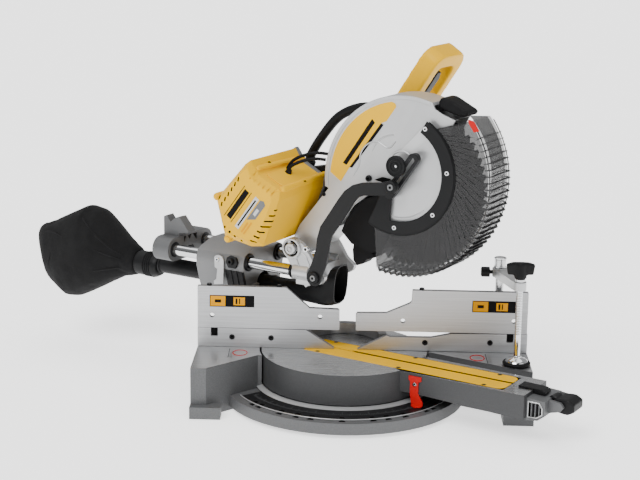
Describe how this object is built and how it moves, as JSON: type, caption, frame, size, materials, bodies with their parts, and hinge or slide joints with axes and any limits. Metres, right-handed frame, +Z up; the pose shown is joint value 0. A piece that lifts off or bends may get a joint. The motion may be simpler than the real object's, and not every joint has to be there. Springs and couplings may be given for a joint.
{
  "type": "sliding mitre saw",
  "caption": "Cordless sliding mitre saw on twin rails, with turning table, bevelling head, belt-driven blade, moving guard, sliding fences, work clamp and dust bag.",
  "frame": {"origin": "centre of the box round the saw, on the bench under its feet", "axes": "+X along the fence to the right of the operator, +Y away from the operator, +Z up; the table and head stand turned 60 degrees to the right"},
  "size_m": [1.092, 0.653, 0.6851],
  "materials": {
    "cast_grey": "cast aluminium, grey textured paint",
    "black_plastic": "moulded black nylon",
    "black_steel": "blackened steel",
    "machined": "machined aluminium, brushed lengthwise",
    "silver_cast": "silver paint on cast aluminium",
    "chrome": "polished chrome plate",
    "steel": "ground steel",
    "yellow": "moulded yellow plastic",
    "red": "red plastic",
    "smoke": "smoke-tinted clear plastic",
    "cloth": "black woven polyester",
    "rubber": "black rubber"
  },
  "bodies": {
    "base": {"base_casting": "cast_grey", "detent_plate": "black_steel", "fence_fixed": "machined", "mitre_pivot_bolt": "steel"},
    "fence_left": {"fence_upper_left": "machined"},
    "fence_right": {"fence_upper_right": "machined"},
    "knob_left": {"fence_knob_left": "black_plastic"},
    "knob_right": {"fence_knob_right": "black_plastic"},
    "clamp": {"clamp_post": "chrome", "clamp_arm": "silver_cast"},
    "clamp_pad": {"clamp_foot": "chrome"},
    "clamp_spindle": {"clamp_screw": "chrome", "clamp_knob": "black_plastic"},
    "clamp_lock": {"clamp_set_knob": "black_plastic"},
    "table": {"turntable": "cast_grey", "kerf_plate_left": "yellow", "kerf_plate_right": "yellow", "mitre_pointer": "red", "arm_end_housing": "cast_grey"},
    "lock_lever": {"mitre_lock_lever": "black_plastic"},
    "latch": {"mitre_latch": "black_plastic"},
    "bevel_arm": {"slide_housing": "cast_grey", "rail_bearing_near": "black_plastic", "rail_bearing_far": "black_plastic", "bevel_pivot_bolt": "steel"},
    "bevel_lever": {"bevel_lock_lever": "black_plastic"},
    "rail_lock": {"rail_lock_knob": "black_plastic"},
    "carriage": {"rail_near": "chrome", "rail_far": "chrome", "rail_end_cap": "cast_grey", "head_bracket": "silver_cast", "head_pivot_pin": "steel", "head_spring": "steel", "dust_duct": "black_plastic", "bag_collar": "black_plastic", "dust_funnel": "black_plastic", "dust_bag": "cloth"},
    "head": {"upper_guard": "silver_cast", "belt_housing": "black_plastic", "belt_cover": "black_plastic", "motor_housing": "yellow", "d_handle": "yellow", "carry_handle": "black_plastic", "guard_bumper": "rubber", "kerf_deflector": "rubber", "motor_cable_1": "rubber", "motor_cable_2": "rubber", "drive_belt": "rubber"},
    "trigger_key": {"trigger": "black_plastic"},
    "blade": {"arbor_shaft": "steel", "saw_blade": "steel", "blade_flange": "steel", "arbor_bolt": "black_steel", "driven_pulley": "steel"},
    "rotor": {"motor_rotor": "steel"},
    "guard": {"lower_guard": "smoke", "guard_plate": "silver_cast", "guard_ring": "black_plastic", "guard_cam": "black_plastic"},
    "link": {"guard_link": "black_steel"}
  },
  "joints": [
    {"name": "mitre", "type": "hinge", "parent": "base", "child": "table", "pos_m": [0.11342, -0.07159, 0.095], "axis": [0, 0, 1], "range_deg": [-110, 0]},
    {"name": "bevel", "type": "hinge", "parent": "table", "child": "bevel_arm", "pos_m": [-0.05979, 0.02841, 0.095], "axis": [-0.866, 0.5, 0], "range_deg": [0, 30]},
    {"name": "slide", "type": "slide", "parent": "bevel_arm", "child": "carriage", "axis": [-0.866, 0.5, 0], "range_m": [-0.064, 0.08]},
    {"name": "chop", "type": "hinge", "parent": "carriage", "child": "head", "pos_m": [0.04067, -0.02959, 0.297], "axis": [-0.5, -0.866, 0], "range_deg": [-45.9, 0], "stiffness_Nm_per_rad": 12, "springref_deg": 171.89},
    {"name": "guard_swing", "type": "hinge", "parent": "head", "child": "guard", "pos_m": [0.2286, -0.13809, 0.4795], "axis": [-0.5, -0.866, 0], "range_deg": [0, 110.2]},
    {"name": "link_swing", "type": "hinge", "parent": "carriage", "child": "link", "pos_m": [0.09004, -0.05809, 0.25], "axis": [-0.5, -0.866, 0], "range_deg": [-43.7, 0]},
    {"name": "blade_spin", "type": "hinge", "parent": "head", "child": "blade", "pos_m": [0.23293, -0.14059, 0.4367], "axis": [0.5, 0.866, 0], "continuous": true},
    {"name": "rotor_spin", "type": "hinge", "parent": "head", "child": "rotor", "pos_m": [0.00084, -0.00659, 0.385], "axis": [0.5, 0.866, 0], "continuous": true},
    {"name": "trigger", "type": "slide", "parent": "head", "child": "trigger_key", "axis": [0.5, 0.866, 0], "range_m": [-0.006, 0], "stiffness_N_per_m": 600, "springref_m": 0.003},
    {"name": "fence_left_slide", "type": "slide", "parent": "base", "child": "fence_left", "axis": [1, 0, 0], "range_m": [-0.1, 0]},
    {"name": "fence_right_slide", "type": "slide", "parent": "base", "child": "fence_right", "axis": [-1, 0, 0], "range_m": [-0.1, 0]},
    {"name": "fence_knob_left_turn", "type": "hinge", "parent": "base", "child": "knob_left", "pos_m": [-0.06658, -0.06159, 0.1185], "axis": [0, 1, 0], "range_deg": [0, 180]},
    {"name": "fence_knob_right_turn", "type": "hinge", "parent": "base", "child": "knob_right", "pos_m": [0.34342, -0.06159, 0.1185], "axis": [0, 1, 0], "range_deg": [0, 180]},
    {"name": "clamp_swing", "type": "hinge", "parent": "base", "child": "clamp", "pos_m": [0.40942, -0.04359, 0.195], "axis": [0, 0, 1], "range_deg": [-72, 40]},
    {"name": "clamp_lift", "type": "slide", "parent": "clamp", "child": "clamp_pad", "axis": [0, 0, 1], "range_m": [0, 0.03]},
    {"name": "clamp_screw_turn", "type": "hinge", "parent": "clamp_pad", "child": "clamp_spindle", "pos_m": [0.43842, -0.14259, 0.245], "axis": [0, 0, 1], "range_deg": [0, 2160]},
    {"name": "clamp_set_turn", "type": "hinge", "parent": "clamp", "child": "clamp_lock", "pos_m": [0.39492, -0.04359, 0.249], "axis": [-1, 0, 0], "range_deg": [0, 180]},
    {"name": "mitre_lock", "type": "hinge", "parent": "table", "child": "lock_lever", "pos_m": [0.50573, -0.29809, 0.075], "axis": [-0.5, -0.866, 0], "range_deg": [0, 25]},
    {"name": "mitre_latch_lift", "type": "hinge", "parent": "table", "child": "latch", "pos_m": [0.43558, -0.25759, 0.097], "axis": [-0.5, -0.866, 0], "range_deg": [0, 15], "stiffness_Nm_per_rad": 0.5, "springref_deg": -17.19},
    {"name": "bevel_lock", "type": "hinge", "parent": "bevel_arm", "child": "bevel_lever", "pos_m": [-0.0823, 0.04141, 0.095], "axis": [0.866, -0.5, 0], "range_deg": [-40, 0]},
    {"name": "rail_lock_turn", "type": "hinge", "parent": "bevel_arm", "child": "rail_lock", "pos_m": [-0.06219, 0.11224, 0.241], "axis": [0.5, 0.866, 0], "range_deg": [0, 180]}
  ],
  "couplings": [
    {"joint": "guard_swing", "follows": "chop", "ratio": -2.4},
    {"joint": "link_swing", "follows": "chop", "ratio": 0.95},
    {"joint": "rotor_spin", "follows": "blade_spin", "ratio": 2.4},
    {"joint": "clamp_screw_turn", "follows": "clamp_lift", "rad_per_m": 1256.6}
  ]
}
